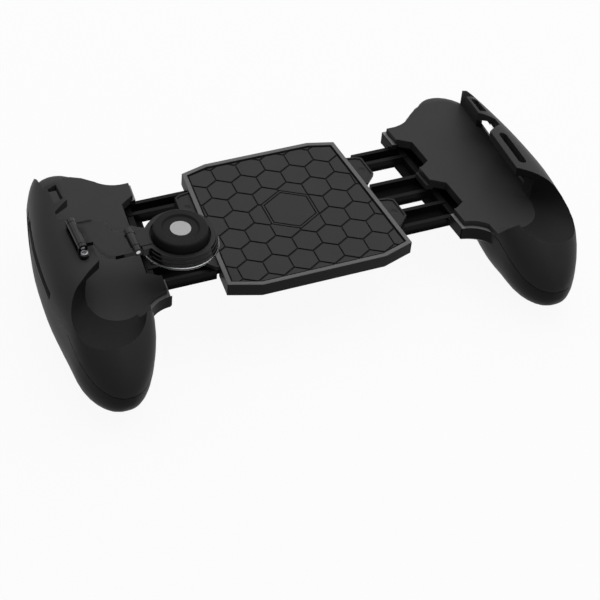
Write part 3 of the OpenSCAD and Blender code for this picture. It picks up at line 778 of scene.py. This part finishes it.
class CONTROLLER_OT_studio(bpy.types.Operator):
    """Build the pale floor, the soft lamps and the camera"""

    bl_idname = "controller.build_studio"
    bl_label = "Build Studio"

    def execute(self, context):
        scene = context.scene
        scene.view_settings.view_transform = "Standard"
        self.build_world(scene)
        self.build_floor()
        for name, strength, place, width in LAMPS:
            self.hang_lamp(scene, name, getattr(studio(), strength), place, width)
        self.place_camera(scene)
        return {"FINISHED"}

    def seen_directly(self, f):
        """1 for what the eye sees itself, in a reflection or through clear plastic."""
        seen = f.add("ShaderNodeLightPath", output="Is Camera Ray")
        for kind in ("Is Glossy Ray", "Is Transmission Ray"):
            other = f.add("ShaderNodeLightPath", output=kind)
            seen = f.add("ShaderNodeMath", {"operation": "MAXIMUM"}, {0: seen, 1: other})
        return seen

    def build_world(self, scene):
        f = Finish(bpy.data.worlds.new("studio_light"))
        seen = self.seen_directly(f)
        strength = studio().ambient + seen * (1.0 - studio().ambient)
        light = f.add("ShaderNodeBackground", inputs={"Strength": strength})
        f.add("ShaderNodeOutputWorld", inputs={"Surface": light})
        scene.world = f.owner

    def build_floor(self):
        f = new_finish("floor_white")
        seen = self.seen_directly(f)
        colour = f.blend(seen, studio().floor_cast, studio().floor_tone)
        plain = f.add("ShaderNodeBsdfDiffuse", inputs={"Color": colour})
        white = f.add("ShaderNodeEmission", inputs={"Strength": 1.0})
        f.show(f.add("ShaderNodeMixShader", inputs={0: seen * studio().floor_light, 1: plain, 2: white}))
        half = studio().floor_size / 2
        bm = bmesh.new()
        corners = ((-half, -half), (half, -half), (half, half), (-half, half))
        bm.faces.new([bm.verts.new((x, y, 0.0)) for x, y in corners])
        floor = piece_from(bm, "floor", f.owner)
        floor.location.z = CAD_BOX[0].z - studio().floor_gap

    def hang_lamp(self, scene, name, watts, place, width):
        data = bpy.data.lights.new(name, "AREA")
        data.energy = watts
        data.size = width
        lamp = bpy.data.objects.new(name, data)
        lamp.location = place
        lamp.rotation_mode = "QUATERNION"
        lamp.rotation_quaternion = (-Vector(place)).to_track_quat("-Z", "Y")
        scene.collection.objects.link(lamp)

    def place_camera(self, scene):
        back = -Vector(studio().camera_forward).normalized()
        right = Vector(studio().camera_right).normalized()
        up = back.cross(right)
        data = bpy.data.cameras.new("camera")
        data.sensor_width = SENSOR
        data.lens = studio().lens
        camera = bpy.data.objects.new("camera", data)
        turn = Matrix((right, up, back)).transposed().to_4x4()
        camera.matrix_world = Matrix.Translation(studio().camera_place) @ turn
        scene.collection.objects.link(camera)
        scene.camera = camera


OPERATORS = (
    CONTROLLER_OT_grips,
    CONTROLLER_OT_plate,
    CONTROLLER_OT_slides,
    CONTROLLER_OT_screws,
    CONTROLLER_OT_arm,
    CONTROLLER_OT_joystick,
    CONTROLLER_OT_studio,
)


class CONTROLLER_PT_finish(bpy.types.Panel):
    """Lists the steps that dress the controller"""

    bl_idname = "CONTROLLER_PT_finish"
    bl_label = "Controller Finish"
    bl_space_type = "VIEW_3D"
    bl_region_type = "UI"
    bl_category = "Controller"

    def draw(self, context):
        for group in (look(), sizes(), studio()):
            box = self.layout.box()
            for key in group.__annotations__:
                box.prop(group, key)
        for operator in OPERATORS:
            self.layout.operator(operator.bl_idname)


GROUPS = {
    "controller_look": ControllerLook,
    "controller_sizes": ControllerSizes,
    "controller_studio": ControllerStudio,
}


def register():
    for kind in (*GROUPS.values(), *OPERATORS, CONTROLLER_PT_finish):
        bpy.utils.register_class(kind)
    for key, kind in GROUPS.items():
        setattr(bpy.types.Scene, key, PointerProperty(type=kind))


def unregister():
    for key in GROUPS:
        delattr(bpy.types.Scene, key)
    for kind in (CONTROLLER_PT_finish, *reversed(OPERATORS), *reversed(list(GROUPS.values()))):
        bpy.utils.unregister_class(kind)


def main():
    register()
    bpy.ops.controller.dress_grips()
    bpy.ops.controller.dress_plate()
    bpy.ops.controller.dress_slides()
    bpy.ops.controller.finish_screws()
    bpy.ops.controller.dress_arm()
    bpy.ops.controller.dress_joystick()
    bpy.ops.controller.build_studio()


if __name__ == "__main__":
    main()
